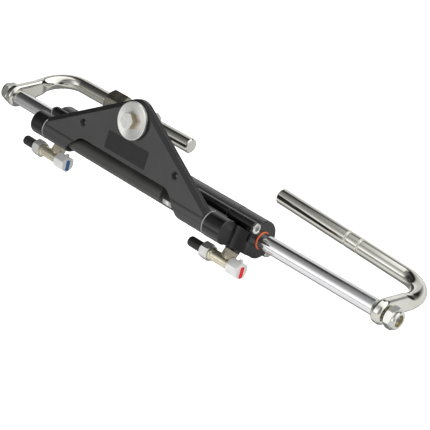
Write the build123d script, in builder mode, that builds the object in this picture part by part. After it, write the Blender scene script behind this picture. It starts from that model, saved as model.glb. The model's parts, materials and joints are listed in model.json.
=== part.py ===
from build123d import *
from math import cos, hypot, radians, sin, sqrt
import os

os.makedirs("parts", exist_ok=True)

# Frame: X along the piston rod, Y back towards the tilt rods, Z up.
# The origin is on the rod axis, midway between the two arm eyes.

# Named clearances
running_fit = 0.05
seat_fit = 0.03
piston_fit = 0.08

# Piston rod
rod_d = 16.0
rod_shoulder = 247.0
rod_end = 267.5
spigot_d = 12.7
thread_start = 257.6
thread_core_d = 11.5

# Support arms
bar_d = 15.9
eye_d = 24.0
eye_thick = 11.0
eye_inner = 7.0
eye_hole_d = 13.9
flat_width = 17.5
flat_end = 29.0
neck_end = 39.5
arm_straight = 40.9
bend_radius = 29.5
edge_round = 4.0
left_reach = 198.3
right_reach = 186.7
left_groove_from_eye = (89.6, 105.0)
right_groove_from_eye = (83.2, 98.6)
groove_width = 2.0
groove_depth = 0.9
right_eye_mid = 254.9
right_lean = (-8.7, 3.4, -0.5)

# Rod nuts
nut_af = 19.0
nut_hex = 7.6
nut_height = 10.6
insert_d = 15.6
right_nut_x = 261.4

# Hex collar
collar_af = 25.4
collar_long = 23.7
collar_x = -166.8

# Cylinder
mid_x = -36.3
bore_d = 32.0
barrel_d = 38.4
gland_d = 38.0
joint_at = 114.0
left_gland_past_boss = 5.7
right_gland_past_boss = 11.4
neck_long = 5.3
plug_long = 5.0
piston_long = 17.0
lobe_r = 5.7
lobe_at = 20.0
lobe_turn = 120.3
screw_shank_d = 6.0
screw_head_d = 10.2
screw_head_h = 1.6
screw_reach = 43.0

# Pivot
pivot_y = -35.6
pivot_z = 17.1
pivot_d = 16.0
boss_r = 12.2
boss_in = 114.6
left_boss_out = 132.3
right_boss_out = 135.4
boss_proud = 1.4
pivot_seat = 13.0

# Tiller plate, in its own plane: s up the plate, e out of its face
lean = 19.6
hub_r = 12.0
hub_out = 113.4
flange_t = 0.9
plate_back = 3.8
wall_front = 8.0
plate_front = 10.8
apex_s = 53.7
apex_r = 20.7
rim_width = 4.8
foot_reach = 81.0
side_slope = 1.72
lower_edge_s = 11.6
left_side_hole = (-63.8, 26.2)
right_side_hole = (65.8, 26.2)
side_hole_d = 8.4
bolt_d = 10.0
label_size = (56.0, 17.8)
label_s = 24.4
label_t = 0.25

# Tiller bolt's rear end, as distances behind the pivot axis
spacer_back = 6.4
rear_washer_t = 1.8
rear_nut_hex = 7.6
rear_nut_collar = 2.6
bolt_past_nut = 1.5

# Tee fittings
tee_from_mid = 124.3
tee_y = -23.1
tee_z = -25.6
tee_run_d = 11.4
tee_leg_d = 9.6
port_floor = 14.0
port_face = 22.4
port_boss_r = 7.6
port_d = 8.0

pivot_centre = Vector(mid_x, pivot_y, pivot_z)
plate_normal = Vector(0, -cos(radians(lean)), sin(radians(lean)))
plate_up = Vector(0, sin(radians(lean)), cos(radians(lean)))
out_of_plate = Axis((0, 0, 0), (0, -cos(radians(lean)), sin(radians(lean))))
lobe_y = lobe_at * cos(radians(lobe_turn))
lobe_z = lobe_at * sin(radians(lobe_turn))


def plate_plane(e):
    """Plane of the tiller plate, a distance e in front of the pivot axis."""
    return Plane(origin=pivot_centre + plate_normal * e, x_dir=(1, 0, 0), z_dir=plate_normal)


def across(x):
    """Plane across the rod at x, with local x along Y and local y along Z."""
    return Plane(origin=(x, 0, 0), x_dir=(0, 1, 0), z_dir=(1, 0, 0))


def boss_end(side):
    """Distance of a pivot boss's outer face from the middle of the cylinder."""
    return left_boss_out if side < 0 else right_boss_out


def gland_end(side):
    """Distance of a gland's end face from the middle of the cylinder."""
    if side < 0:
        return left_boss_out + left_gland_past_boss
    return right_boss_out + right_gland_past_boss


def save(shape, name):
    shape.label = name
    export_step(shape, "parts/" + name + ".step")


def rod_profile():
    """Half section of the piston rod, with a spigot and a thinner threaded end at both ends."""
    r = rod_d / 2
    s = spigot_d / 2
    core = thread_core_d / 2
    side = [
        (0, r),
        (rod_shoulder - 0.6, r),
        (rod_shoulder, r - 0.6),
        (rod_shoulder, s),
        (thread_start - 0.6, s),
        (thread_start, core),
        (rod_end - 0.8, core),
        (rod_end, core - 0.8),
        (rod_end, 0),
    ]
    mirrored = [(-px, py) for px, py in reversed(side)]
    return mirrored + side[1:]


with BuildPart() as piston_rod:
    with BuildSketch(Plane.XY):
        with BuildLine():
            Polyline(*rod_profile(), close=True)
        make_face()
    revolve(axis=Axis.X)

with BuildPart() as piston:
    with BuildSketch(across(-piston_long / 2)):
        Circle(bore_d / 2 - piston_fit)
        Circle(rod_d / 2, mode=Mode.SUBTRACT)
    extrude(amount=piston_long)
    with BuildSketch(across(-2.2)):
        Circle(bore_d / 2)
        Circle(bore_d / 2 - 3.0, mode=Mode.SUBTRACT)
    extrude(amount=4.4, mode=Mode.SUBTRACT)

with BuildPart() as piston_seal:
    with BuildSketch(across(-2.2)):
        Circle(bore_d / 2 - running_fit)
        Circle(bore_d / 2 - 3.0, mode=Mode.SUBTRACT)
    extrude(amount=4.4)


def arm_at_origin(reach, grooves):
    """Support arm with its eye at the origin, going back along Y and bending towards +X."""
    eye_outer = eye_thick - eye_inner
    eye_shift = eye_inner - eye_thick / 2
    half_w = flat_width / 2
    bar_r = bar_d / 2
    lean_in = (eye_d / 2 - half_w) / flat_end
    start_y = eye_d / 2 * lean_in
    start_z = sqrt((eye_d / 2) ** 2 - start_y**2)
    with BuildPart() as arm:
        # the eye and the flattened bar
        with BuildSketch(across(-eye_outer)):
            Circle(eye_d / 2)
            with BuildLine():
                Polyline(
                    (start_y, start_z),
                    (flat_end, half_w),
                    (flat_end, -half_w),
                    (start_y, -start_z),
                    close=True,
                )
            make_face()
        extrude(amount=eye_thick)
        rims = arm.faces().sort_by(Axis.X)
        rounded = [e for f in (rims[0], rims[-1]) for e in f.edges() if e.center().Y < flat_end - 0.5]
        fillet(rounded, edge_round)
        # the neck, where the flat swells back to the round bar
        sections = [arm.faces().sort_by(Axis.Y)[-1]]
        for along, wide, tall, corner in (
            (0.23, 0.13, 0.06, 0.12),
            (0.50, 0.56, 0.52, 0.47),
            (0.76, 0.91, 0.90, 0.87),
            (1.0, 1.0, 1.0, 1.0),
        ):
            # shares of the way from the flat's sizes to the bar's
            y = flat_end + along * (neck_end - flat_end)
            width = eye_thick + wide * (bar_d - eye_thick)
            height = flat_width + tall * (bar_d - flat_width)
            rounding = edge_round + corner * (bar_r - 0.15 - edge_round)
            x = eye_shift * (1 - wide)
            with BuildSketch(Plane(origin=(x, y, 0), x_dir=(1, 0, 0), z_dir=(0, 1, 0)), mode=Mode.PRIVATE) as cut:
                RectangleRounded(width, height, rounding)
            sections.append(cut.sketch.face())
        loft(sections=sections)
        # the round bar, its bend and the long tilt rod
        bar_start = Plane(origin=(0, neck_end - 0.5, 0), x_dir=(1, 0, 0), z_dir=(0, 1, 0))
        with BuildLine() as path:
            Line((0, neck_end - 0.5, 0), (0, arm_straight, 0))
            RadiusArc((0, arm_straight, 0), (bend_radius, arm_straight + bend_radius, 0), bend_radius)
            Line((bend_radius, arm_straight + bend_radius, 0), (reach, arm_straight + bend_radius, 0))
        with BuildSketch(bar_start):
            Circle(bar_r)
        sweep(path=path.line)
        chamfer(arm.faces().sort_by(Axis.X)[-1].edges(), 1.1)
        for at in grooves:
            with BuildSketch(Plane(origin=(at - groove_width / 2, arm_straight + bend_radius, 0), z_dir=(1, 0, 0))):
                Circle(bar_r + 1)
                Circle(bar_r - groove_depth, mode=Mode.SUBTRACT)
            extrude(amount=groove_width, mode=Mode.SUBTRACT)
        # the hole through the eye
        with BuildSketch(across(-eye_outer - 1)):
            Circle(eye_hole_d / 2)
        extrude(amount=eye_thick + 2, mode=Mode.SUBTRACT)
    return arm.part


eye_mid = rod_shoulder + eye_inner
left_arm_shape = Location((-eye_mid, 0, 0)) * arm_at_origin(left_reach, left_groove_from_eye)
right_arm_flat = mirror(arm_at_origin(right_reach, right_groove_from_eye), about=Plane.YZ)
right_arm_shape = (
    Location((right_eye_mid, 0, 0))
    * Rotation(0, 0, right_lean[2])
    * Rotation(0, right_lean[1], 0)
    * Rotation(right_lean[0], 0, 0)
    * right_arm_flat
)


def lock_nut(x, side):
    """Hexagonal lock nut on the rod's spigot; side points away from the eye."""
    hole_r = thread_core_d / 2 + seat_fit
    with BuildPart() as nut:
        with BuildSketch(across(x)):
            RegularPolygon(nut_af / 2, 6, major_radius=False)
        extrude(amount=side * nut_hex)
        with BuildSketch(across(x + side * nut_hex)):
            Circle(nut_af / 2 - 0.4)
        extrude(amount=side * (nut_height - nut_hex))
        chamfer(nut.faces().sort_by(Axis.X)[-1 if side > 0 else 0].outer_wire().edges(), 1.0)
        # the corners are turned off to a cone at both ends of the hexagon
        with BuildSketch(Plane.XY):
            with BuildLine():
                reach = nut_af / 2 / cos(radians(30))
                Polyline(
                    (x - side * 0.5, nut_af / 2 - 0.6),
                    (x + side * 1.3, reach + 0.2),
                    (x - side * 0.5, reach + 2.0),
                    close=True,
                )
            make_face()
            with BuildLine():
                Polyline(
                    (x + side * (nut_hex + 0.05), nut_af / 2 - 0.4),
                    (x + side * (nut_hex - 1.3), reach + 0.2),
                    (x + side * (nut_hex + 0.05), reach + 2.0),
                    close=True,
                )
            make_face()
        revolve(axis=Axis.X, mode=Mode.SUBTRACT)
        with BuildSketch(across(x - side)):
            Circle(hole_r)
        extrude(amount=side * (nut_height + 2), mode=Mode.SUBTRACT)
        with BuildSketch(across(x + side * (nut_hex + 0.4))):
            Circle(insert_d / 2)
        extrude(amount=side * (nut_height - nut_hex - 1.0), mode=Mode.SUBTRACT)
    return nut.part


def nut_insert(x, side):
    """Nylon ring held in the collar of a lock nut."""
    with BuildPart() as ring:
        with BuildSketch(across(x + side * (nut_hex + 0.4))):
            Circle(insert_d / 2)
            Circle(thread_core_d / 2 + seat_fit, mode=Mode.SUBTRACT)
        extrude(amount=side * (nut_height - nut_hex - 1.0))
    return ring.part


left_nut_x = -(rod_shoulder + eye_thick)
left_nut_shape = lock_nut(left_nut_x, -1)
right_nut_shape = lock_nut(right_nut_x, 1)
left_insert_shape = nut_insert(left_nut_x, -1)
right_insert_shape = nut_insert(right_nut_x, 1)

tilt_axis_y = arm_straight + bend_radius
with BuildPart() as hex_collar:
    collar_corner = collar_af / 2 / cos(radians(30))
    with BuildSketch(
        Plane(origin=(collar_x - collar_long / 2, tilt_axis_y, 0), x_dir=(0, 1, 0), z_dir=(1, 0, 0))
    ):
        RegularPolygon(collar_af / 2, 6, major_radius=False, rotation=14)
        Circle(bar_d / 2 + running_fit, mode=Mode.SUBTRACT)
    extrude(amount=collar_long)
    for x, s in ((collar_x - collar_long / 2, 1), (collar_x + collar_long / 2, -1)):
        with BuildSketch(Plane.XY):
            with BuildLine():
                Polyline(
                    (x - s * 0.5, tilt_axis_y + collar_af / 2 - 0.7),
                    (x + s * 1.6, tilt_axis_y + collar_corner + 0.2),
                    (x - s * 0.5, tilt_axis_y + collar_corner + 3.0),
                    close=True,
                )
            make_face()
        revolve(axis=Axis((0, tilt_axis_y, 0), (1, 0, 0)), mode=Mode.SUBTRACT)

with BuildPart() as barrel:
    with BuildSketch(across(mid_x - joint_at)):
        Circle(barrel_d / 2)
        with Locations((lobe_y, lobe_z), (-lobe_y, -lobe_z)):
            Circle(lobe_r)
        Circle(bore_d / 2, mode=Mode.SUBTRACT)
    extrude(amount=2 * joint_at)
    # the valleys between lobe and tube are filled softly
    valleys = [
        e
        for e in barrel.edges().filter_by(Axis.X)
        if e.length > joint_at and hypot(e.center().Y, e.center().Z) < lobe_at + lobe_r - 2
        and hypot(e.center().Y, e.center().Z) > bore_d / 2 + 1
    ]
    fillet(valleys, 1.6)
    for side in (-1, 1):
        with BuildSketch(across(mid_x + side * joint_at)):
            with Locations((lobe_y, lobe_z), (-lobe_y, -lobe_z)):
                Circle(screw_shank_d / 2)
        extrude(amount=-side * (screw_reach - (gland_end(side) - joint_at) + 3), mode=Mode.SUBTRACT)


def web_outline():
    """Corners of the web between the pivot boss and the gland, in Y and Z."""
    span = hypot(pivot_y, pivot_z)
    dy = -pivot_y / span
    dz = -pivot_z / span
    nose_r = gland_d / 2
    k = (nose_r - boss_r) / span
    q = sqrt(1 - k * k)
    ny = k * dy + q * dz
    nz = k * dz - q * dy
    low_boss = (pivot_y + boss_r * ny, pivot_z + boss_r * nz)
    low_nose = (nose_r * ny, nose_r * nz)
    top = radians(60)
    high_boss = (pivot_y + boss_r * cos(top), pivot_z + boss_r * sin(top))
    rim = radians(138)
    high_nose = (nose_r * cos(rim), nose_r * sin(rim))
    return low_boss, low_nose, high_nose, high_boss


def seal_end(side):
    """Distance of the outer end of the rod seal from the middle of the cylinder."""
    return gland_end(side) - 3.5 - neck_long


def head(side):
    """One end casting: gland, screw lobes, web and pivot boss; side is the outward direction."""
    def at(d):
        return across(mid_x + side * d)

    boss_out = boss_end(side)
    gland_at = gland_end(side)
    low_boss, low_nose, high_nose, high_boss = web_outline()
    tee_turn = hypot(tee_y, tee_z)
    with BuildPart() as casting:
        with BuildSketch(at(joint_at)):
            Circle(gland_d / 2)
            with Locations((lobe_y, lobe_z), (-lobe_y, -lobe_z)):
                Circle(lobe_r)
        extrude(amount=side * (gland_at - joint_at))
        end_face = casting.faces().sort_by(Axis.X)[-1 if side > 0 else 0]
        fillet(end_face.edges(), 1.2)
        # web, with a hollow ramp from the boss out to the gland's end face
        with BuildPart(mode=Mode.PRIVATE) as web:
            with BuildSketch(at(boss_in)):
                with BuildLine():
                    Polyline(high_boss, (pivot_y, pivot_z), low_boss, low_nose, (0, 0), high_nose)
                    ThreePointArc(
                        high_nose,
                        (
                            (high_nose[0] + high_boss[0]) / 2 + 1.3,
                            (high_nose[1] + high_boss[1]) / 2 - 1.5,
                        ),
                        high_boss,
                    )
                make_face()
            extrude(amount=side * (gland_at - boss_in))
            span = hypot(pivot_y, pivot_z)
            along = Vector(0, -pivot_y / span, -pivot_z / span)
            ramp = Plane(
                origin=Vector(mid_x, pivot_y, pivot_z) - Vector(0, along.Z, -along.Y) * gland_d,
                x_dir=along,
                z_dir=Vector(0, along.Z, -along.Y),
            )
            foot_u = boss_r + 0.6
            foot_x = boss_out - boss_proud
            top_u = span - gland_d / 2 + 1.5
            with BuildSketch(ramp):
                with BuildLine():
                    Polyline(
                        (foot_u, side * foot_x),
                        (-boss_r - 4, side * foot_x),
                        (-boss_r - 4, side * (gland_at + 2)),
                        (top_u, side * (gland_at + 2)),
                        (top_u, side * gland_at),
                    )
                    ThreePointArc(
                        (top_u, side * gland_at),
                        ((foot_u + top_u) / 2 + 1.1, side * ((foot_x + gland_at) / 2 - 1.1)),
                        (foot_u, side * foot_x),
                    )
                make_face()
            extrude(amount=2 * gland_d, mode=Mode.SUBTRACT)
        add(web.part)
        with BuildPart(mode=Mode.PRIVATE) as boss:
            with BuildSketch(at(boss_in)):
                with Locations((pivot_y, pivot_z)):
                    Circle(boss_r)
            extrude(amount=side * (boss_out - boss_in))
            fillet(boss.faces().sort_by(Axis.X)[-1 if side > 0 else 0].edges(), 1.0)
        add(boss.part)
        # the port boss under the tee leg, ending at the joint with the barrel
        port_dir = Vector(0, tee_y / tee_turn, tee_z / tee_turn)
        port_origin = Vector(mid_x + side * tee_from_mid, 0, 0) + port_dir * port_floor
        with BuildSketch(Plane(origin=port_origin, x_dir=(1, 0, 0), z_dir=port_dir)):
            Circle(port_boss_r)
        extrude(amount=port_face - port_floor)
        with BuildSketch(at(joint_at)):
            Circle(barrel_d)
        extrude(amount=-side * 12, mode=Mode.SUBTRACT)
        # plug that enters the barrel
        with BuildSketch(at(joint_at)):
            Circle(bore_d / 2 - running_fit)
        extrude(amount=-side * plug_long)
        with BuildSketch(at(joint_at - 1.0)):
            Circle(bore_d / 2)
            Circle(bore_d / 2 - 1.9, mode=Mode.SUBTRACT)
        extrude(amount=-side * 2.6, mode=Mode.SUBTRACT)
        # bore for bush and seal, neck and wiper recess
        for start, long, radius in (
            (joint_at - plug_long - 1, seal_end(side) - joint_at + plug_long + 1, rod_d / 2 + 1.8),
            (joint_at - plug_long, gland_at - joint_at + plug_long + 1, rod_d / 2 + 0.3),
            (gland_at - 3.5, 5.0, 8.9),
        ):
            with BuildSketch(at(start)):
                Circle(radius)
            extrude(amount=side * long, mode=Mode.SUBTRACT)
        # screw holes
        with BuildSketch(at(joint_at - 1)):
            with Locations((lobe_y, lobe_z), (-lobe_y, -lobe_z)):
                Circle(screw_shank_d / 2)
        extrude(amount=side * (gland_at - joint_at + 2), mode=Mode.SUBTRACT)
        # blind seat of the pivot shaft
        with BuildSketch(at(boss_in - 1)):
            with Locations((pivot_y, pivot_z)):
                Circle(pivot_d / 2 + seat_fit)
        extrude(amount=side * (pivot_seat + 1), mode=Mode.SUBTRACT)
        # port for the tee leg and its passage into the barrel
        with BuildSketch(Plane(origin=port_origin, x_dir=(1, 0, 0), z_dir=port_dir)):
            Circle(port_d / 2 + seat_fit)
        extrude(amount=port_face - port_floor + 1, mode=Mode.SUBTRACT)
        with BuildSketch(at(joint_at - plug_long - 1)):
            with Locations((port_dir.Y * 12.4, port_dir.Z * 12.4)):
                Circle(1.5)
        extrude(amount=side * (tee_from_mid - joint_at + plug_long + 2), mode=Mode.SUBTRACT)
    return casting.part


def ring(side, start, long, outer, inner):
    """A plain ring around the rod; start and long are measured outward from mid_x."""
    with BuildPart() as part:
        with BuildSketch(across(mid_x + side * start)):
            Circle(outer)
            Circle(inner, mode=Mode.SUBTRACT)
        extrude(amount=side * long)
    return part.part


def wiper(side):
    with BuildPart() as part:
        with BuildSketch(across(mid_x + side * (gland_end(side) - 3.5))):
            Circle(8.9)
            Circle(rod_d / 2 + running_fit, mode=Mode.SUBTRACT)
        extrude(amount=side * 4.4)
        lip = part.faces().sort_by(Axis.X)[-1 if side > 0 else 0]
        fillet(lip.outer_wire().edges(), 0.35)
    return part.part


def head_screws(side):
    """The two socket head screws of one end."""
    x_face = mid_x + side * gland_end(side)
    with BuildPart() as screws:
        with BuildSketch(across(x_face)):
            with Locations((lobe_y, lobe_z), (-lobe_y, -lobe_z)):
                Circle(screw_head_d / 2)
        extrude(amount=side * screw_head_h)
        top = [e for e in screws.edges() if abs(e.center().X - x_face - side * screw_head_h) < 0.01]
        fillet(top, 0.5)
        with BuildSketch(across(x_face)):
            with Locations((lobe_y, lobe_z), (-lobe_y, -lobe_z)):
                Circle(screw_shank_d / 2 - seat_fit)
        extrude(amount=-side * screw_reach)
        with BuildSketch(across(x_face + side * screw_head_h)):
            with Locations((lobe_y, lobe_z), (-lobe_y, -lobe_z)):
                RegularPolygon(2.5, 6, major_radius=False)
        extrude(amount=-side * 3.0, mode=Mode.SUBTRACT)
    return screws.part


with BuildPart() as pivot_shaft:
    with BuildSketch(across(mid_x - boss_in - pivot_seat + 0.1)):
        with Locations((pivot_y, pivot_z)):
            Circle(pivot_d / 2)
    extrude(amount=2 * (boss_in + pivot_seat - 0.1))
    chamfer(pivot_shaft.edges().filter_by(GeomType.CIRCLE), 0.8)


def side_line(offset):
    """Apex tangent points and foot of the plate's sloping side, moved in by offset."""
    run = sqrt(1 + side_slope**2)
    nx = 1 / run
    ns = side_slope / run
    r = apex_r - offset
    touch = (r * nx, apex_s + r * ns)
    reach = r + ns * apex_s
    return touch, reach / nx, side_slope


def plate_outline(offset, foot_x):
    """Closed outline of the plate in its plane; the sides and apex move in by offset."""
    touch, at_zero, slope = side_line(offset)
    foot_s = (at_zero - foot_x) / slope
    r = apex_r - offset
    with BuildLine() as line:
        Line((foot_x, foot_s), touch)
        ThreePointArc(touch, (0, apex_s + r), (-touch[0], touch[1]))
        Line((-touch[0], touch[1]), (-foot_x, foot_s))
        Line((-foot_x, foot_s), (-foot_x, -hub_r - 1))
        Line((-foot_x, -hub_r - 1), (-foot_reach, -hub_r - 1))
        Spline(
            (-foot_reach, -hub_r - 1),
            (4.0 - foot_reach, -4.4),
            (12.4 - foot_reach, 4.4),
            (26.0 - foot_reach, lower_edge_s),
            tangents=((0.3, 1), (1, 0)),
        )
        Line((26.0 - foot_reach, lower_edge_s), (foot_reach - 26.0, lower_edge_s))
        Spline(
            (foot_reach - 26.0, lower_edge_s),
            (foot_reach - 12.4, 4.4),
            (foot_reach - 4.0, -4.4),
            (foot_reach, -hub_r - 1),
            tangents=((1, 0), (0.3, -1)),
        )
        Line((foot_reach, -hub_r - 1), (foot_x, -hub_r - 1))
        Line((foot_x, -hub_r - 1), (foot_x, foot_s))
    return line.line


def upper_outline(offset, foot_x, low_s):
    """The part of the outline above the hubs, closed straight across at low_s."""
    touch, at_zero, slope = side_line(offset)
    foot_s = (at_zero - foot_x) / slope
    r = apex_r - offset
    with BuildLine() as line:
        Line((foot_x, foot_s), touch)
        ThreePointArc(touch, (0, apex_s + r), (-touch[0], touch[1]))
        Line((-touch[0], touch[1]), (-foot_x, foot_s))
        Line((-foot_x, foot_s), (-foot_x, low_s))
        Line((-foot_x, low_s), (foot_x, low_s))
        Line((foot_x, low_s), (foot_x, foot_s))
    return line.line


with BuildPart() as tiller_plate:
    # slab, its bevelled rim, and the two hubs
    with BuildSketch(plate_plane(plate_back)):
        add(upper_outline(0, hub_out, -4.0))
        make_face()
    extrude(amount=wall_front - plate_back)
    with BuildSketch(plate_plane(wall_front)):
        add(upper_outline(0, hub_out, -4.0))
        make_face()
    with BuildSketch(plate_plane(plate_front)):
        add(upper_outline(rim_width, hub_out - 2.6, -4.0))
        make_face()
    loft()
    with BuildSketch(across(mid_x - hub_out)):
        with Locations((pivot_y, pivot_z)):
            Circle(hub_r)
    extrude(amount=2 * hub_out)
    # everything below the lower edge and between the hubs is cut away
    with BuildSketch(plate_plane(-hub_r - 1)):
        add(plate_outline(-1.5, hub_out))
        make_face()
    extrude(amount=2 * hub_r + 6, mode=Mode.INTERSECT)
    # bores: hubs, apex and side holes
    with BuildSketch(across(mid_x - hub_out - 1)):
        with Locations((pivot_y, pivot_z)):
            Circle(pivot_d / 2 + 1.6)
    extrude(amount=2 * hub_out + 2, mode=Mode.SUBTRACT)
    with BuildSketch(plate_plane(plate_back - 1)):
        with Locations((0, apex_s)):
            Circle(bolt_d / 2 + 2.0)
        with Locations(left_side_hole, right_side_hole):
            Circle(side_hole_d / 2)
    extrude(amount=plate_front - plate_back + 3, mode=Mode.SUBTRACT)


def hub_bush(side):
    """Flanged sleeve between hub and pivot shaft."""
    with BuildPart() as bush:
        with BuildSketch(across(mid_x + side * (hub_out - 26))):
            with Locations((pivot_y, pivot_z)):
                Circle(pivot_d / 2 + 1.6)
        extrude(amount=side * 26)
        with BuildSketch(across(mid_x + side * hub_out)):
            with Locations((pivot_y, pivot_z)):
                Circle(hub_r)
        extrude(amount=side * flange_t)
        with BuildSketch(across(mid_x + side * (hub_out - 27))):
            with Locations((pivot_y, pivot_z)):
                Circle(pivot_d / 2 + running_fit)
        extrude(amount=side * 30, mode=Mode.SUBTRACT)
    return bush.part


with BuildPart() as apex_bush:
    with BuildSketch(plate_plane(plate_back - 1.6)):
        with Locations((0, apex_s)):
            Circle(11.0)
    extrude(amount=1.6)
    with BuildSketch(plate_plane(plate_back)):
        with Locations((0, apex_s)):
            Circle(bolt_d / 2 + 2.0)
    extrude(amount=plate_front - plate_back)
    with BuildSketch(plate_plane(plate_front)):
        with Locations((0, apex_s)):
            Circle(11.0)
    extrude(amount=1.8)
    with BuildSketch(plate_plane(plate_back - 2)):
        with Locations((0, apex_s)):
            Circle(bolt_d / 2 + running_fit)
    extrude(amount=plate_front - plate_back + 5, mode=Mode.SUBTRACT)

with BuildPart() as label_field:
    with BuildSketch(plate_plane(plate_front)):
        with Locations((0, label_s)):
            RectangleRounded(label_size[0], label_size[1], 0.8)
    extrude(amount=label_t)

bolt_head_e = plate_front + 1.8 + 0.05 + 3.1
nut_from = spacer_back + rear_washer_t
collar_from = nut_from + rear_nut_hex
bolt_back = collar_from + rear_nut_collar + bolt_past_nut
with BuildPart() as tiller_bolt:
    with BuildSketch(plate_plane(bolt_head_e)):
        with Locations((0, apex_s)):
            RegularPolygon(7.1, 6, major_radius=False, rotation=12)
    extrude(amount=6.4)
    with BuildSketch(plate_plane(-bolt_back)):
        with Locations((0, apex_s)):
            Circle(bolt_d / 2)
    extrude(amount=bolt_head_e + bolt_back)
    foot = tiller_bolt.faces().sort_by(out_of_plate)[0]
    chamfer(foot.edges(), 0.8)

with BuildPart() as big_washer:
    with BuildSketch(plate_plane(bolt_head_e - 3.1)):
        with Locations((0, apex_s)):
            Circle(18.35)
            Circle(bolt_d / 2 + seat_fit, mode=Mode.SUBTRACT)
    extrude(amount=3.1)
    fillet(big_washer.faces().sort_by(out_of_plate)[-1].outer_wire().edges(), 0.7)

with BuildPart() as tiller_spacer:
    with BuildSketch(plate_plane(-spacer_back)):
        with Locations((0, apex_s)):
            Circle(8.0)
            Circle(bolt_d / 2 + seat_fit, mode=Mode.SUBTRACT)
    extrude(amount=spacer_back + plate_back - 1.6 - 0.05)
    with BuildSketch(plate_plane(-nut_from)):
        with Locations((0, apex_s)):
            Circle(10.4)
            Circle(bolt_d / 2 + seat_fit, mode=Mode.SUBTRACT)
    extrude(amount=rear_washer_t)

with BuildPart() as tiller_nut:
    with BuildSketch(plate_plane(-nut_from)):
        with Locations((0, apex_s)):
            RegularPolygon(8.5, 6, major_radius=False, rotation=12)
    extrude(amount=-rear_nut_hex)
    with BuildSketch(plate_plane(-collar_from)):
        with Locations((0, apex_s)):
            Circle(8.1)
    extrude(amount=-rear_nut_collar)
    chamfer(tiller_nut.faces().sort_by(out_of_plate)[0].edges(), 0.7)
    with BuildSketch(plate_plane(1 - nut_from)):
        with Locations((0, apex_s)):
            Circle(bolt_d / 2 + seat_fit)
    extrude(amount=-(rear_nut_hex + rear_nut_collar + 2), mode=Mode.SUBTRACT)


def tee_body(side):
    """Tee fitting: run along X, leg up into the head's port."""
    x = mid_x + side * tee_from_mid
    span = hypot(tee_y, tee_z)
    up = Vector(0, -tee_y / span, -tee_z / span)
    run = Plane(origin=(x, tee_y, tee_z), x_dir=(0, 1, 0), z_dir=(1, 0, 0))
    with BuildPart() as tee:
        with BuildSketch(run.offset(-15.0)):
            Circle(tee_run_d / 2)
        extrude(amount=21.6)
        with BuildSketch(run.offset(-18.0)):
            Circle(6.6)
        extrude(amount=3.0)
        chamfer([e for e in tee.edges() if abs(e.center().X - x + 15) < 0.01 and e.radius > 6], 0.7)
        leg = Plane(origin=(x, tee_y, tee_z), x_dir=(1, 0, 0), z_dir=up)
        with BuildSketch(leg):
            Circle(tee_leg_d / 2)
        extrude(amount=span - port_face)
        with BuildSketch(leg):
            Circle(port_d / 2)
        extrude(amount=span - port_floor - 0.6)
        with BuildSketch(leg.offset(4.6)):
            RegularPolygon(6.3, 6, major_radius=False, rotation=30)
        extrude(amount=span - port_face - 4.6)
        with BuildSketch(run.offset(-29.0)):
            Circle(3.4)
        extrude(amount=12.0)
    return tee.part


def hose_nut(side):
    """Hexagonal nut at the hose end of a tee."""
    x = mid_x + side * tee_from_mid
    run = Plane(origin=(x, tee_y, tee_z), x_dir=(0, 1, 0), z_dir=(1, 0, 0))
    with BuildPart() as nut:
        with BuildSketch(run.offset(-28.0)):
            RegularPolygon(7.7, 6, major_radius=False, rotation=8)
        extrude(amount=10.0)
        with BuildSketch(run.offset(-29)):
            Circle(3.4 + seat_fit)
        extrude(amount=12, mode=Mode.SUBTRACT)
        with BuildSketch(Plane.XY.offset(tee_z)):
            with BuildLine():
                Polyline(
                    (x - 28.5, tee_y - 7.1),
                    (x - 26.8, tee_y - 9.1),
                    (x - 28.5, tee_y - 11.0),
                    close=True,
                )
            make_face()
            with BuildLine():
                Polyline(
                    (x - 17.5, tee_y - 7.1),
                    (x - 19.2, tee_y - 9.1),
                    (x - 17.5, tee_y - 11.0),
                    close=True,
                )
            make_face()
        revolve(axis=Axis((x, tee_y, tee_z), (1, 0, 0)), mode=Mode.SUBTRACT)
    return nut.part


def hose_cap(side):
    """Black protective cap over the open hose end."""
    x = mid_x + side * tee_from_mid
    run = Plane(origin=(x, tee_y, tee_z), x_dir=(0, 1, 0), z_dir=(1, 0, 0))
    with BuildPart() as cap:
        with BuildSketch(run.offset(-47.0)):
            Circle(5.2)
        extrude(amount=19.0)
        fillet(cap.faces().sort_by(Axis.X)[0].edges(), 2.6)
        with BuildSketch(run.offset(-30.0)):
            Circle(3.4 + seat_fit)
        extrude(amount=3.0, mode=Mode.SUBTRACT)
    return cap.part


def bleeder_nut(side):
    """Hexagonal bleeder fitting at the other end of a tee, with its small nipple."""
    x = mid_x + side * tee_from_mid
    run = Plane(origin=(x, tee_y, tee_z), x_dir=(0, 1, 0), z_dir=(1, 0, 0))
    with BuildPart() as nut:
        with BuildSketch(run.offset(6.6)):
            RegularPolygon(7.6, 6, major_radius=False, rotation=20)
        extrude(amount=15.0)
        with BuildSketch(Plane.XY.offset(tee_z)):
            with BuildLine():
                Polyline(
                    (x + 6.1, tee_y - 6.4),
                    (x + 9.0, tee_y - 9.1),
                    (x + 6.1, tee_y - 11.0),
                    close=True,
                )
            make_face()
            with BuildLine():
                Polyline(
                    (x + 22.1, tee_y - 6.9),
                    (x + 20.0, tee_y - 9.1),
                    (x + 22.1, tee_y - 11.0),
                    close=True,
                )
            make_face()
        revolve(axis=Axis((x, tee_y, tee_z), (1, 0, 0)), mode=Mode.SUBTRACT)
        with BuildSketch(Plane(origin=(x + 15.5, tee_y, tee_z), x_dir=(1, 0, 0), z_dir=(0, 0.55, 0.835))):
            Circle(2.0)
        extrude(amount=9.6)
    return nut.part


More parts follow.
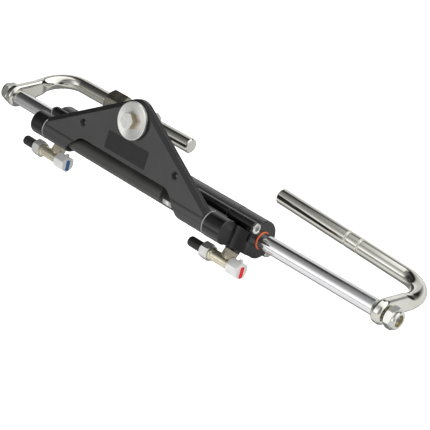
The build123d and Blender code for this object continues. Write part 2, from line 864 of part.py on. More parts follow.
def end_mark(side):
    """Coloured strip across the end of a bleeder fitting."""
    x = mid_x + side * tee_from_mid
    run = Plane(origin=(x, tee_y, tee_z), x_dir=(0, 1, 0), z_dir=(1, 0, 0))
    with BuildPart() as mark:
        with BuildSketch(run.offset(21.6)):
            with Locations(Location((-0.6, -0.6, 0), (0, 0, 1), -14)):
                RectangleRounded(4.2, 11.0, 0.8)
        extrude(amount=0.6)
    return mark.part


save(piston_rod.part, "piston_rod")
save(piston.part, "piston")
save(piston_seal.part, "piston_seal")
save(left_arm_shape, "left_arm")
save(right_arm_shape, "right_arm")
save(left_nut_shape, "left_rod_nut")
save(right_nut_shape, "right_rod_nut")
save(left_insert_shape, "left_nut_insert")
save(right_insert_shape, "right_nut_insert")
save(hex_collar.part, "hex_collar")
save(barrel.part, "barrel")
save(pivot_shaft.part, "pivot_shaft")
save(tiller_plate.part, "tiller_plate")
save(apex_bush.part, "apex_bush")
save(label_field.part, "label_field")
save(tiller_bolt.part, "tiller_bolt")
save(big_washer.part, "big_washer")
save(tiller_spacer.part, "tiller_spacer")
save(tiller_nut.part, "tiller_nut")
for name, side in (("left", -1), ("right", 1)):
    bush_long = seal_end(side) - 4.1 - (joint_at - plug_long)
    save(head(side), name + "_head")
    save(ring(side, joint_at - plug_long, bush_long, rod_d / 2 + 1.8, rod_d / 2 + running_fit), name + "_rod_bush")
    save(ring(side, seal_end(side) - 4.1, 4.1, rod_d / 2 + 1.8, rod_d / 2 + seat_fit), name + "_rod_seal")
    save(ring(side, joint_at - 3.6, 2.6, bore_d / 2 - 0.02, bore_d / 2 - 1.9), name + "_o_ring")
    save(wiper(side), name + "_wiper")
    save(head_screws(side), name + "_head_screws")
    save(hub_bush(side), name + "_hub_bush")
    save(tee_body(side), name + "_tee")
    save(hose_nut(side), name + "_hose_nut")
    save(hose_cap(side), name + "_hose_cap")
    save(bleeder_nut(side), name + "_bleeder")
    save(end_mark(side), name + "_end_mark")
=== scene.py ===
import json
import math

import bmesh
import bpy
from mathutils import Matrix, Vector


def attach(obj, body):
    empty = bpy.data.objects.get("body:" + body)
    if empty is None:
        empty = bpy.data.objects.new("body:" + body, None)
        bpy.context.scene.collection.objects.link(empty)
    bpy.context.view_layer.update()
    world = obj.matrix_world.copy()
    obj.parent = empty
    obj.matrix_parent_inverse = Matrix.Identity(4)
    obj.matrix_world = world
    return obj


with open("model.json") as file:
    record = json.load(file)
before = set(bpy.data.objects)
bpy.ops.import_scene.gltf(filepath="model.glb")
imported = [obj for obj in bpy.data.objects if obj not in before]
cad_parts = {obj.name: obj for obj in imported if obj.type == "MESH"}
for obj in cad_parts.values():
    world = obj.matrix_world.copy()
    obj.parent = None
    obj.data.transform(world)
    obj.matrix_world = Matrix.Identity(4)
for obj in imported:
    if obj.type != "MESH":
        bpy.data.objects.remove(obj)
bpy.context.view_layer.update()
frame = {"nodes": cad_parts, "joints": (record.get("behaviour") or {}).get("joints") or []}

# Sizes and places are in metres and angles in degrees. x runs along the piston rod, from left to right.
ALONG = Vector((1, 0, 0))
ACROSS = Vector((0, 1, 0))

# The tiller plate leans on the pivot shaft: OUT points out of its face and UP runs up the face
joints = {joint["name"]: joint for joint in frame["joints"]}
PIVOT = Vector(joints["plate_hinge"]["pos_m"])
BOLT_CENTRE = Vector(joints["bolt_turn"]["pos_m"])
OUT = Vector(joints["bolt_turn"]["axis"]).normalized()
UP = OUT.cross(ALONG)

# Threads: where each starts, how far it runs, and the radii of its foot and its crest. The holes are
# placed on the plate, from PIVOT.
ROD_PITCH = 0.00127
ROD_THREAD_START = 0.2588
ROD_THREAD_LENGTH = 0.0024
ROD_THREAD_FOOT = 0.00572
ROD_THREAD_CREST = 0.00632
NUT_THREAD_START = 0.2679
NUT_THREAD_LENGTH = 0.0014
NUT_THREAD_FOOT = 0.00585
NUT_THREAD_CREST = 0.00535
HOLE_PITCH = 0.00125
HOLE_X = {"left": -0.0638, "right": 0.0658}
HOLE_UP = 0.0262
HOLE_THREAD_START = 0.0042
HOLE_THREAD_LENGTH = 0.0060
HOLE_THREAD_FOOT = 0.00422
HOLE_THREAD_CREST = 0.00372
THREAD_STEPS = 40
RUN_OUT = 0.4  # turns at either end over which the ridge rises
RIDGE_FOOT = 0.46  # half widths of the ridge, as shares of the pitch
RIDGE_TIP = 0.06

# Films on the pivot shaft: their ends along x, their angles round the shaft, inner radius and thickness
BAND_ENDS = (0.0175, 0.0435)
BAND_TURN = (95.0, 265.0)
BAND_INNER = 0.00802
BAND_THICK = 0.00012
FIELD_ENDS = (0.0226, 0.0344)
FIELD_TURN = (160.0, 194.0)
FIELD_INNER = 0.00815
FIELD_THICK = 0.00008
FILM_STEPS = 24

# Rings beside the ring grooves of the right tilt rod, rougher, with a lighter tint that is a painted
# highlight of the groove edges
RINGS = (0.1556, 0.1710)
RING_HALF = (0.0009, 0.0013)  # half width, from full to gone
TILT_ROD_Y = (0.050, 0.055)  # the tilt rods lie behind this, the eyes of the arms in front of it
RING_HIGHLIGHT_TINT = (0.84, 0.82, 0.75)
RING_ROUGH = 0.25

# Surfaces
METAL_EDGE = 0.0004
COAT_EDGE = 0.0005
MOULDED_EDGE = 0.0003
EDGE_SAMPLES = 4
EDGE_COSINES = (0.999, 0.9)  # between the soft and the flat normal, from no edge to full edge
EDGE_DULL = 0.08  # how much rougher a polished edge is
EDGE_BRIGHT = -0.06  # how much smoother a plated or turned edge is
NOISE_SPAN = (0.3, 0.7)  # most of a noise lies between these
# Cosines to OUT over which the plate and the bolt go from painted shade away from the face to their own
# colour on it
PLATE_FACE = (0.90, 0.97)  # cosines to OUT between which a face takes its own colour
BOLT_FACE = (0.2, 0.6)
STAIN = (0.30, 0.22, 0.13)

# Floor: its colours, its glow in reflections, and the stretches of x or y over which that changes
FLOOR_Z = -0.16
FLOOR_HALF = 6.0
FLOOR_PALE = (0.80, 0.80, 0.79)
FLOOR_DARK = (0.25, 0.25, 0.25)
FLOOR_SEEN = 0.70  # glow for the camera
FLOOR_LEFT = 0.10
FLOOR_RIGHT = 0.72
FLOOR_BESIDE = 0.06
FLOOR_BACK = 0.70
LEFT_TO_RIGHT_X = (-0.55, -0.10)
FRONT_TO_BESIDE_Y = (-0.08, 0.0)
BESIDE_TO_RIGHT_X = (0.28, 0.36)
BESIDE_TO_BACK_Y = (0.14, 0.20)

# Light tent: stretches of the direction's x or y over which its parts change
TENT_STRENGTH = 1.9
DARK_DROP = 0.17  # how much lower the dark band lies on the right, as a share of half a turn
DARK_DROP_X = (-0.60, -0.15)
FRONT_TO_BEHIND_Y = (-0.15, 0.25)
CEILING_X = (-0.46, -0.34)
CEILING_Y = (-0.50, -0.20)

# The camera, placed so that the rods, the washer and the end faces fall where the photo has them.
# Its sensor and lens are in millimetres.
SENSOR_WIDTH = 36.0
LENS = 115.19
CLIP_START = 0.05
CAMERA_PLACE = Vector((0.79735, -0.80557, 0.69303))
CAMERA_RIGHT = Vector((0.7039, 0.7075, 0.0624))
CAMERA_BACK = Vector((0.575, -0.6193, 0.5347))

WHITE = (1.0, 1.0, 1.0)

# Sockets of a Mix node that mixes colours
MIX_SHARE = 0
MIX_FIRST = 6
MIX_SECOND = 7
MIX_RESULT = 2


def rgb(color):
    """An (r, g, b) with its alpha; a socket stays as it is."""
    return (*color, 1.0) if isinstance(color, tuple) else color


class Tree:
    """Shorthand for building the node tree of a material or world."""

    def __init__(self, owner):
        owner.use_nodes = True
        self.nodes = owner.node_tree.nodes
        self.links = owner.node_tree.links
        self.nodes.clear()

    def add(self, kind, **props):
        node = self.nodes.new(kind)
        for key, value in props.items():
            setattr(node, key, value)
        return node

    def put(self, node, socket, value):
        """Link a socket to the node's input, or set the input to a plain value."""
        if isinstance(value, bpy.types.NodeSocket):
            self.links.new(value, node.inputs[socket])
        else:
            node.inputs[socket].default_value = value

    def made(self, kind, result, inputs, **props):
        """Add a node with its inputs filled, and return the output named result."""
        node = self.add(kind, **props)
        for socket, value in inputs.items():
            self.put(node, socket, value)
        return node.outputs[result]

    def span(self, value, low, high, first=0.0, last=1.0, **props):
        """The value mapped from low to high onto first to last."""
        ends = {"Value": value, "From Min": low, "From Max": high, "To Min": first, "To Max": last}
        return self.made("ShaderNodeMapRange", "Result", ends, **props)

    def ease(self, value, low, high, first=0.0, last=1.0):
        """As span, with smooth ends."""
        return self.span(value, low, high, first, last, interpolation_type="SMOOTHSTEP")

    def mix(self, share, first, second, blend="MIX"):
        """A colour between first and second; each is a socket or an (r, g, b)."""
        inputs = {MIX_SHARE: share, MIX_FIRST: rgb(first), MIX_SECOND: rgb(second)}
        return self.made("ShaderNodeMix", MIX_RESULT, inputs, data_type="RGBA", blend_type=blend)

    def math(self, operation, *values):
        return self.made("ShaderNodeMath", "Value", dict(enumerate(values)), operation=operation)

    def plus(self, first, second):
        return self.math("ADD", first, second)

    def times(self, first, second):
        return self.math("MULTIPLY", first, second)

    def vector(self, operation, *values, result="Vector"):
        return self.made("ShaderNodeVectorMath", result, dict(enumerate(values)), operation=operation)

    def split(self, vector):
        """The vector's parts, by the names X, Y and Z."""
        node = self.add("ShaderNodeSeparateXYZ")
        self.put(node, "Vector", vector)
        return node.outputs

    def ramp(self, value, bands):
        """Grey levels along the value; each band is (place, level)."""
        node = self.add("ShaderNodeValToRGB")
        self.put(node, "Fac", value)
        stops = node.color_ramp.elements
        while len(stops) < len(bands):
            stops.new(0.5)
        for stop, (place, level) in zip(stops, bands):
            stop.position = place
            stop.color = rgb((level, level, level))
        return node.outputs["Color"]


class Surface(Tree):
    """A Principled material in the making; where is the place on the part, in metres."""

    SOCKETS = {
        "color": "Base Color",
        "rough": "Roughness",
        "metal": "Metallic",
        "normal": "Normal",
        "spec": "Specular IOR Level",
        "brushed": "Anisotropic",
        "tangent": "Tangent",
    }

    def __init__(self, name):
        self.material = bpy.data.materials.new(name)
        super().__init__(self.material)
        self.shader = self.add("ShaderNodeBsdfPrincipled")
        self.put(self.add("ShaderNodeOutputMaterial"), "Surface", self.shader.outputs["BSDF"])
        place = self.add("ShaderNodeTexCoord")
        self.where = place.outputs["Object"]
        self.rest_normal = place.outputs["Normal"]

    def done(self, **values):
        for key, value in values.items():
            self.put(self.shader, self.SOCKETS[key], value)
        return self.material

    def noise(self, scale, detail=3.0, rough=0.5, where=None):
        inputs = {"Vector": where or self.where, "Scale": scale, "Detail": detail, "Roughness": rough}
        return self.made("ShaderNodeTexNoise", "Fac", inputs)

    def bump(self, normal, height, strength, distance):
        inputs = {"Normal": normal, "Height": height, "Strength": strength, "Distance": distance}
        return self.made("ShaderNodeBump", "Normal", inputs)

    def soft_normal(self, radius):
        """The normals that edges rounded to the radius would have."""
        return self.made("ShaderNodeBevel", "Normal", {"Radius": radius}, samples=EDGE_SAMPLES)

    def edge_mask(self, soft):
        """1 at edges, where the soft normal leaves the flat one, and 0 elsewhere."""
        flat = self.add("ShaderNodeNewGeometry").outputs["Normal"]
        cosine = self.vector("DOT_PRODUCT", soft, flat, result="Value")
        return self.span(cosine, *EDGE_COSINES)

    def painted_shade_by_facing(self, color, face, cosines, shaded_sides):
        """Painted shade: the colour where the surface at rest faces a direction, and a darker colour
        elsewhere.
        """
        cosine = self.vector("DOT_PRODUCT", self.rest_normal, face, result="Value")
        return self.mix(self.span(cosine, *cosines), shaded_sides, color)


def ring_highlight_mask(mat, rings):
    """A mask of narrow rings round the tilt rod, at places along x, for rings that are rougher and carry a
    painted highlight.
    """
    place = mat.split(mat.where)
    ring = 0.0
    for ring_x in rings:
        away = mat.math("ABSOLUTE", mat.math("SUBTRACT", place["X"], ring_x))
        ring = mat.plus(ring, mat.span(away, *RING_HALF, first=1.0, last=0.0))
    return mat.times(ring, mat.span(place["Y"], *TILT_ROD_Y))


def polished(name, tint, dark, rough, lines, depth=0.06, stain=0.0, rings=()):
    """Polished metal: faint grinding lines, cloudy roughness, and, if asked for, brown stains or rings that
    are rougher and carry a painted highlight.

    lines are the noise's scales along x, y and z, and the grinding lines run along the small one.
    """
    mat = Surface(name)
    normal = mat.soft_normal(METAL_EDGE)
    stretched = mat.made("ShaderNodeMapping", "Vector", {"Vector": mat.where, "Scale": lines})
    fine = mat.noise(scale=1.0, detail=2.0, rough=0.6, where=stretched)
    cloud = mat.noise(scale=38.0, detail=4.0)
    color = mat.mix(mat.span(cloud, low=0.35, high=0.75), tint, dark)
    if stain:
        spots = mat.noise(scale=230.0, detail=5.0, rough=0.7)
        spots = mat.span(spots, low=0.56, high=0.70, last=stain)
        color = mat.mix(spots, color, STAIN)
    value = mat.span(cloud, *NOISE_SPAN, first=rough * 0.75, last=rough * 1.3)
    value = mat.plus(value, mat.span(fine, *NOISE_SPAN, first=-0.02, last=0.03))
    value = mat.plus(value, mat.times(mat.edge_mask(normal), EDGE_DULL))
    if rings:
        # Rings beside the grooves: rougher, with a lighter tint that is a painted highlight
        ring = ring_highlight_mask(mat, rings)
        color = mat.mix(ring, color, RING_HIGHLIGHT_TINT)
        value = mat.plus(value, mat.times(ring, RING_ROUGH))
    normal = mat.bump(normal, fine, strength=depth, distance=0.00005)
    return mat.done(color=color, rough=value, metal=1.0, normal=normal)


def turned(name, tint, dark, rough, centre, axis, brushed, dish):
    """Lathe-turned face: grooves run round the axis, so highlights fan out; dish is the face's slope."""
    mat = Surface(name)
    normal = mat.soft_normal(METAL_EDGE)
    around = mat.vector("CROSS_PRODUCT", mat.vector("SUBTRACT", mat.where, centre), axis)
    to_world = {"vector_type": "VECTOR", "convert_from": "OBJECT", "convert_to": "WORLD"}
    radial = mat.vector("CROSS_PRODUCT", axis, around)
    radial = mat.made("ShaderNodeVectorTransform", "Vector", {"Vector": radial}, **to_world)
    far = mat.vector("LENGTH", around, result="Value")
    groove = mat.made("ShaderNodeTexNoise", "Fac", {"W": far, "Scale": 2600.0, "Detail": 3.0},
                      noise_dimensions="1D")
    cloud = mat.noise(scale=150.0, detail=4.0)
    value = mat.span(cloud, *NOISE_SPAN, first=rough * 0.85, last=rough * 1.2)
    value = mat.plus(value, mat.times(mat.edge_mask(normal), EDGE_BRIGHT))
    normal = mat.bump(normal, groove, strength=0.10, distance=0.00004)
    normal = mat.bump(normal, far, strength=1.0, distance=dish)
    return mat.done(color=mat.mix(mat.span(groove, *NOISE_SPAN), tint, dark), rough=value, metal=1.0,
                    normal=normal, brushed=brushed, tangent=mat.vector("NORMALIZE", radial))


def coated(name, base, light, rough, peel=0.25, edge_highlight_color=(0.09, 0.09, 0.09), grain=1400.0, spec=0.5,
           face=None, shaded_sides=None):
    """Black satin coat: orange peel, dusty patches and a patchy painted highlight on the edges; away from
    face, if given, the colour is painted shade.
    """
    mat = Surface(name)
    normal = mat.soft_normal(COAT_EDGE)
    skin = mat.noise(grain, detail=2.0, rough=0.55)
    wave = mat.noise(scale=90.0)
    dust = mat.noise(scale=22.0, detail=5.0, rough=0.6)
    color = mat.mix(mat.span(dust, low=0.4, high=0.75), base, light)
    if face is not None:
        color = mat.painted_shade_by_facing(color, face, PLATE_FACE, shaded_sides)
    # Painted highlight: the edges are lighter, in patches
    painted_edge_highlight = mat.span(mat.noise(scale=160.0), low=0.35, high=0.65, first=0.2)
    painted_edge_highlight = mat.times(mat.edge_mask(normal), painted_edge_highlight)
    color = mat.mix(painted_edge_highlight, color, edge_highlight_color)
    value = mat.span(wave, *NOISE_SPAN, first=rough - 0.05, last=rough + 0.06)
    value = mat.plus(value, mat.span(skin, *NOISE_SPAN, first=-0.03, last=0.03))
    normal = mat.bump(normal, skin, strength=peel, distance=0.00006)
    normal = mat.bump(normal, wave, strength=0.08, distance=0.0003)
    return mat.done(color=color, rough=value, metal=0.0, normal=normal, spec=spec)


def moulded(name, base, light, rough, grain=700.0, peel=0.2, spec=0.5):
    """Rubber, plastic or film with a fine moulded grain."""
    mat = Surface(name)
    skin = mat.noise(grain, detail=2.0)
    cloud = mat.noise(scale=120.0, detail=4.0)
    color = mat.mix(mat.span(cloud, low=0.35, high=0.7), base, light)
    value = mat.span(skin, *NOISE_SPAN, first=rough - 0.05, last=rough + 0.07)
    normal = mat.bump(mat.soft_normal(MOULDED_EDGE), skin, strength=peel, distance=0.00005)
    return mat.done(color=color, rough=value, metal=0.0, normal=normal, spec=spec)


def plated(name, tint, dark, rough, metal=1.0, face=None, shaded_sides=None):
    """Zinc or nickel plate, a little cloudy and grainy; away from face, if given, the colour is painted
    shade.
    """
    mat = Surface(name)
    normal = mat.soft_normal(METAL_EDGE)
    cloud = mat.noise(scale=170.0, detail=5.0, rough=0.65)
    grain = mat.noise(scale=1500.0, detail=2.0)
    color = mat.mix(mat.span(cloud, low=0.38, high=0.72), tint, dark)
    if face is not None:
        color = mat.painted_shade_by_facing(color, face, BOLT_FACE, shaded_sides)
    value = mat.span(cloud, *NOISE_SPAN, first=rough * 0.8, last=rough * 1.25)
    value = mat.plus(value, mat.times(mat.edge_mask(normal), EDGE_BRIGHT))
    normal = mat.bump(normal, cloud, strength=0.06, distance=0.0002)
    normal = mat.bump(normal, grain, strength=0.08, distance=0.00004)
    return mat.done(color=color, rough=value, metal=metal, normal=normal)


MATS = {
    "chrome": polished("hard_chrome", (0.83, 0.83, 0.84), (0.76, 0.76, 0.77), 0.13, (2600.0, 60.0, 60.0)),
    "steel": polished("polished_stainless", (0.69, 0.685, 0.63), (0.60, 0.595, 0.53), 0.08,
                      (25.0, 900.0, 900.0), rings=RINGS),
    "nut": polished("bright_nut", (0.66, 0.66, 0.63), (0.54, 0.54, 0.50), 0.16,
                    (500.0, 500.0, 500.0), depth=0.03),
    "thread": polished("thread_steel", (0.58, 0.45, 0.28), (0.26, 0.18, 0.10), 0.24,
                       (700.0, 700.0, 700.0), depth=0.05, stain=0.6),
    "collar": polished("collar_steel", (0.40, 0.38, 0.31), (0.30, 0.28, 0.22), 0.24, (500.0, 400.0, 400.0)),
    "shaft": coated("oiled_shaft", (0.040, 0.041, 0.036), (0.056, 0.057, 0.050), 0.42,
                    peel=0.08, grain=2200.0),
    "casting": coated("black_casting", (0.0025, 0.0025, 0.0025), (0.005, 0.005, 0.005), 0.20, spec=0.6),
    "tube": coated("black_tube", (0.0015, 0.0015, 0.0015), (0.003, 0.003, 0.003), 0.17,
                   peel=0.10, grain=2600.0, spec=0.75),
    # The plate's bevels and other faces that don't face OUT get a darker painted shade, and its edges a
    # stronger painted highlight
    "plate": coated("charcoal_plate", (0.036, 0.036, 0.036), (0.046, 0.046, 0.046), 0.34, peel=0.30,
                    edge_highlight_color=(0.16, 0.16, 0.16), spec=0.6, face=OUT, shaded_sides=(0.010, 0.010, 0.010)),
    "zinc": plated("light_zinc", (0.80, 0.80, 0.78), (0.68, 0.68, 0.66), 0.34),
    # The bolt's sides, away from the face that faces OUT, get a brown painted shade
    "bolt": plated("bolt_zinc", (0.86, 0.86, 0.82), (0.76, 0.76, 0.72), 0.30,
                   face=OUT, shaded_sides=(0.36, 0.31, 0.22)),
    "washer": turned("turned_zinc", (0.94, 0.94, 0.91), (0.84, 0.84, 0.81), 0.34,
                     centre=BOLT_CENTRE, axis=OUT, brushed=0.9, dish=0.075),
    "bleeder": plated("dull_zinc", (0.90, 0.90, 0.89), (0.78, 0.78, 0.77), 0.45, metal=0.30),
    "tee": plated("worn_nickel", (0.80, 0.74, 0.58), (0.60, 0.55, 0.41), 0.25, metal=0.9),
    "bronze": plated("bronze", (0.50, 0.36, 0.18), (0.36, 0.25, 0.12), 0.35),
    "cap": moulded("black_rubber", (0.008, 0.008, 0.008), (0.014, 0.014, 0.014), 0.45),
    "seal": moulded("seal_rubber", (0.015, 0.015, 0.015), (0.025, 0.025, 0.025), 0.5),
    "wiper": moulded("orange_wiper", (0.88, 0.14, 0.03), (0.92, 0.20, 0.05), 0.42),
    "light_bush": moulded("light_bush", (0.40, 0.41, 0.42), (0.50, 0.51, 0.52), 0.35),
    "nylon": moulded("nylon", (0.30, 0.26, 0.10), (0.42, 0.37, 0.16), 0.35),
    "blue": moulded("blue_film", (0.02, 0.12, 0.30), (0.03, 0.17, 0.38), 0.3, grain=400.0, peel=0.1),
    "red": moulded("red_film", (0.86, 0.010, 0.018), (0.92, 0.03, 0.035), 0.4,
                   grain=400.0, peel=0.1, spec=0.3),
    "label": moulded("bare_label", (0.006, 0.006, 0.006), (0.010, 0.010, 0.010), 0.40,
                     grain=500.0, peel=0.08),
    "band": moulded("shaft_band", (0.022, 0.022, 0.021), (0.030, 0.030, 0.029), 0.40,
                    grain=500.0, peel=0.08),
    "film": moulded("pale_film", (0.84, 0.84, 0.83), (0.90, 0.90, 0.89), 0.40, grain=500.0, peel=0.05),
}

NODE_MATS = {
    "piston_rod": "chrome",
    "piston": "tube",
    "piston_seal": "seal",
    "hex_collar": "collar",
    "barrel": "tube",
    "pivot_shaft": "shaft",
    "tiller_plate": "plate",
    "apex_bush": "light_bush",
    "label_field": "label",
    "tiller_bolt": "bolt",
    "big_washer": "washer",
    "tiller_spacer": "zinc",
    "tiller_nut": "zinc",
    "left_end_mark": "blue",
    "right_end_mark": "red",
}
# Nodes that there is a left and a right one of
PAIR_MATS = {
    "arm": "steel",
    "rod_nut": "nut",
    "nut_insert": "nylon",
    "head": "casting",
    "rod_bush": "bronze",
    "rod_seal": "seal",
    "o_ring": "seal",
    "wiper": "wiper",
    "head_screws": "nut",
    "hub_bush": "light_bush",
    "tee": "tee",
    "hose_nut": "zinc",
    "hose_cap": "cap",
    "bleeder": "bleeder",
}
for pair_name, mat_name in PAIR_MATS.items():
    NODE_MATS["left_" + pair_name] = mat_name
    NODE_MATS["right_" + pair_name] = mat_name
for node_name, node in frame["nodes"].items():
    node.data.materials.clear()
    node.data.materials.append(MATS[NODE_MATS[node_name]])


def new_object(name, data):
    obj = bpy.data.objects.new(name, data)
    bpy.context.scene.collection.objects.link(obj)
    return obj


def piece(name, verts, faces, body, mat, smooth=True):
    """A mesh piece that rides on a body."""
    mesh = bpy.data.meshes.new(name)
    mesh.from_pydata([tuple(v) for v in verts], [], faces)
    mesh.validate()
    obj = new_object(name, mesh)
    for poly in mesh.polygons:
        poly.use_smooth = smooth
    mesh.materials.append(MATS[mat])
    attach(obj, body)
    return obj


def helix(name, start, axis, side, length, pitch, foot, crest, body, mat):
    """A thread ridge that winds along the axis, closed at both ends; foot and crest are its radii."""
    third = axis.cross(side)
    count = int(length / pitch * THREAD_STEPS)
    rise_steps = THREAD_STEPS * RUN_OUT
    verts = []
    for step in range(count + 1):
        turn = 2 * math.pi * step / THREAD_STEPS
        out = side * math.cos(turn) + third * math.sin(turn)
        rise = min(1.0, step / rise_steps, (count - step) / rise_steps)
        tip = foot + (crest - foot) * rise
        middle = start + axis * (pitch * step / THREAD_STEPS)
        verts.append(middle - axis * (pitch * RIDGE_FOOT) + out * foot)
        verts.append(middle - axis * (pitch * RIDGE_TIP) + out * tip)
        verts.append(middle + axis * (pitch * RIDGE_TIP) + out * tip)
        verts.append(middle + axis * (pitch * RIDGE_FOOT) + out * foot)
    last = 4 * count
    faces = []
    for near in range(0, last, 4):
        far = near + 4
        for corner in range(4):
            after = (corner + 1) % 4
            faces.append((near + corner, near + after, far + after, far + corner))
    faces.append((3, 2, 1, 0))
    faces.append((last, last + 1, last + 2, last + 3))
    obj = piece(name, verts, faces, body, mat, smooth=False)
    bm = bmesh.new()
    bm.from_mesh(obj.data)
    bmesh.ops.recalc_face_normals(bm, faces=bm.faces)
    bm.to_mesh(obj.data)
    bm.free()


# Thread on the rod's right end, between the arm's eye and the loose nut, and the thread inside that nut
helix("right_rod_thread", ALONG * ROD_THREAD_START, ALONG, ACROSS, ROD_THREAD_LENGTH, ROD_PITCH,
      ROD_THREAD_FOOT, ROD_THREAD_CREST, "rod", "thread")
helix("right_nut_thread", ALONG * NUT_THREAD_START, ALONG, ACROSS, NUT_THREAD_LENGTH, ROD_PITCH,
      NUT_THREAD_FOOT, NUT_THREAD_CREST, "rod", "thread")
# Threads cut in the two side holes of the plate
for hole, hole_x in HOLE_X.items():
    hole_start = PIVOT + ALONG * hole_x + UP * HOLE_UP + OUT * HOLE_THREAD_START
    helix(hole + "_hole_thread", hole_start, OUT, ALONG, HOLE_THREAD_LENGTH, HOLE_PITCH,
          HOLE_THREAD_FOOT, HOLE_THREAD_CREST, "tiller_plate", "plate")


def shaft_film(name, ends, turn, inner, thick, mat):
    """A thin film wrapped on the pivot shaft between two angles, its ends cut square."""
    verts = []
    for radius in (inner, inner + thick):
        for step in range(FILM_STEPS + 1):
            angle = math.radians(turn[0] + (turn[1] - turn[0]) * step / FILM_STEPS)
            for x in ends:
                verts.append((x, PIVOT.y + radius * math.cos(angle), PIVOT.z + radius * math.sin(angle)))
    skin = 2 * (FILM_STEPS + 1)
    last = 2 * FILM_STEPS
    faces = []
    for under in range(0, last, 2):
        over = under + skin
        faces.append((under, under + 1, under + 3, under + 2))
        faces.append((over, over + 2, over + 3, over + 1))
        faces.append((under, under + 2, over + 2, over))
        faces.append((under + 1, over + 1, over + 3, under + 3))
    for end in (0, last):
        faces.append((end, end + skin, end + skin + 1, end + 1))
    piece(name, verts, faces, "cylinder", mat)


# A bare black film round the right end of the pivot shaft, with one plain pale field on it
shaft_film("shaft_film", BAND_ENDS, BAND_TURN, BAND_INNER, BAND_THICK, "band")
shaft_film("shaft_film_field", FIELD_ENDS, FIELD_TURN, FIELD_INNER, FIELD_THICK, "film")


def floor_material():
    """A pale floor that glows up to white for the camera.

    Glossy rays see it darker, a painted shade, with a glow that is weak on the left and, as a painted shadow,
    beside the cylinder.
    """
    material = bpy.data.materials.new("pale_floor")
    tree = Tree(material)
    rays = tree.add("ShaderNodeLightPath").outputs
    place = tree.split(tree.add("ShaderNodeTexCoord").outputs["Object"])
    across = tree.ease(place["X"], *LEFT_TO_RIGHT_X, first=FLOOR_LEFT, last=FLOOR_RIGHT)
    # Painted shadow in reflections: the glow is weak beside the cylinder
    clear = tree.ease(place["Y"], *FRONT_TO_BESIDE_Y, first=1.0, last=FLOOR_BESIDE)
    clear = tree.math("MAXIMUM", clear, tree.ease(place["X"], *BESIDE_TO_RIGHT_X))
    clear = tree.math("MAXIMUM", clear, tree.ease(place["Y"], *BESIDE_TO_BACK_Y, last=FLOOR_BACK))
    seen = tree.times(rays["Is Camera Ray"], FLOOR_SEEN)
    strength = tree.math("MULTIPLY_ADD", rays["Is Glossy Ray"], tree.times(across, clear), seen)
    glow = tree.made("ShaderNodeEmission", "Emission", {"Color": rgb(WHITE), "Strength": strength})
    color = tree.mix(rays["Is Glossy Ray"], FLOOR_PALE, FLOOR_DARK)
    diffuse = tree.made("ShaderNodeBsdfDiffuse", "BSDF", {"Color": color})
    both = tree.made("ShaderNodeAddShader", "Shader", {0: diffuse, 1: glow})
    tree.put(tree.add("ShaderNodeOutputMaterial"), "Surface", both)
    return material


def studio_floor():
    half = FLOOR_HALF
    mesh = bpy.data.meshes.new("floor")
    corners = [(-half, -half, FLOOR_Z), (half, -half, FLOOR_Z), (half, half, FLOOR_Z), (-half, half, FLOOR_Z)]
    mesh.from_pydata(corners, [], [(0, 1, 2, 3)])
    mesh.materials.append(floor_material())
    obj = new_object("floor", mesh)


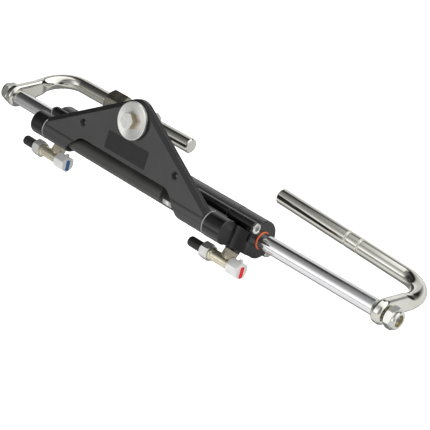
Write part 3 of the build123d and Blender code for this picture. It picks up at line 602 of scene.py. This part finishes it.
def studio_world():
    """A soft light tent of grey bands; the camera itself sees white.

    From the back horizon it goes over a dark band and a dim top to the bright front, which is brightest
    left of the middle. Behind and overhead on the right, a bright ceiling follows on the dark band.
    """
    world = bpy.data.worlds.new("studio")
    bpy.context.scene.world = world
    tree = Tree(world)
    toward = tree.split(tree.add("ShaderNodeTexCoord").outputs["Generated"])
    # Share of half a turn round the X axis, from the back horizon over the top to the front horizon
    share = tree.math("DIVIDE", tree.math("ARCTAN2", toward["Z"], toward["Y"]), math.pi)
    # The dark band lies lower to the right, so it draws the thin line along the support arms
    share = tree.math("MULTIPLY_ADD", tree.ease(toward["X"], *DARK_DROP_X), DARK_DROP, share)
    over = tree.ramp(share, (
        (0.00, 0.60), (0.13, 0.52), (0.22, 0.43), (0.28, 0.25), (0.315, 0.012), (0.42, 0.012), (0.46, 0.06),
        (0.55, 0.12), (0.68, 0.19), (0.75, 0.26), (0.81, 0.40), (0.87, 0.58), (0.93, 0.85), (1.00, 1.0),
    ))
    ceiling_over = tree.ramp(share, (
        (0.00, 0.40), (0.14, 0.62), (0.21, 0.52), (0.27, 0.22), (0.315, 0.01), (0.375, 0.01), (0.395, 1.0),
        (0.52, 0.90), (0.70, 0.70), (1.00, 0.50),
    ))
    # From left to right, in front and behind
    side = tree.span(toward["X"], low=-1.0, high=1.0)
    in_front = tree.ramp(side, (
        (0.00, 0.10), (0.14, 0.16), (0.16, 0.24), (0.19, 0.62), (0.215, 0.92), (0.24, 1.0), (0.32, 0.90),
        (0.44, 0.50), (0.60, 0.22), (1.00, 0.18),
    ))
    behind = tree.ramp(side, (
        (0.00, 0.95), (0.14, 0.95), (0.19, 0.82), (0.24, 0.86), (0.36, 1.0), (1.00, 1.0),
    ))
    along = tree.mix(tree.ease(toward["Y"], *FRONT_TO_BEHIND_Y), in_front, behind)
    tent = tree.mix(1.0, over, along, blend="MULTIPLY")
    ceiling = tree.times(tree.ease(toward["X"], *CEILING_X), tree.ease(toward["Y"], *CEILING_Y))
    tent = tree.mix(ceiling, tent, ceiling_over)
    light = tree.made("ShaderNodeBackground", "Background", {"Color": tent, "Strength": TENT_STRENGTH})
    white = tree.made("ShaderNodeBackground", "Background", {"Color": rgb(WHITE)})
    camera_ray = tree.add("ShaderNodeLightPath").outputs["Is Camera Ray"]
    both = tree.made("ShaderNodeMixShader", "Shader", {0: camera_ray, 1: light, 2: white})
    tree.put(tree.add("ShaderNodeOutputWorld"), "Surface", both)


def area_light(name, place, size, watts):
    """A rectangular lamp that points at the origin and doesn't show in reflections."""
    data = bpy.data.lights.new(name, "AREA")
    data.shape = "RECTANGLE"
    data.size, data.size_y = size
    data.energy = watts
    obj = new_object(name, data)
    obj.location = place
    obj.rotation_euler = (-Vector(place)).to_track_quat("-Z", "Y").to_euler()
    obj.visible_glossy = False


def studio_camera():
    data = bpy.data.cameras.new("camera")
    data.sensor_width = SENSOR_WIDTH
    data.lens = LENS
    data.clip_start = CLIP_START
    camera = new_object("camera", data)
    back = CAMERA_BACK.normalized()
    up = back.cross(CAMERA_RIGHT.normalized()).normalized()
    right = up.cross(back)
    turn = Matrix((right, up, back)).transposed()
    camera.matrix_world = Matrix.Translation(CAMERA_PLACE) @ turn.to_4x4()
    bpy.context.scene.camera = camera


studio_floor()
studio_world()
area_light("key", place=(0.1, -1.8, 0.9), size=(1.4, 0.9), watts=9.5)
area_light("back", place=(-0.3, 1.6, 1.0), size=(1.6, 0.8), watts=2.5)
area_light("top", place=(0.1, -0.2, 1.9), size=(1.6, 1.6), watts=2.0)
studio_camera()
bpy.context.scene.view_settings.view_transform = "Standard"
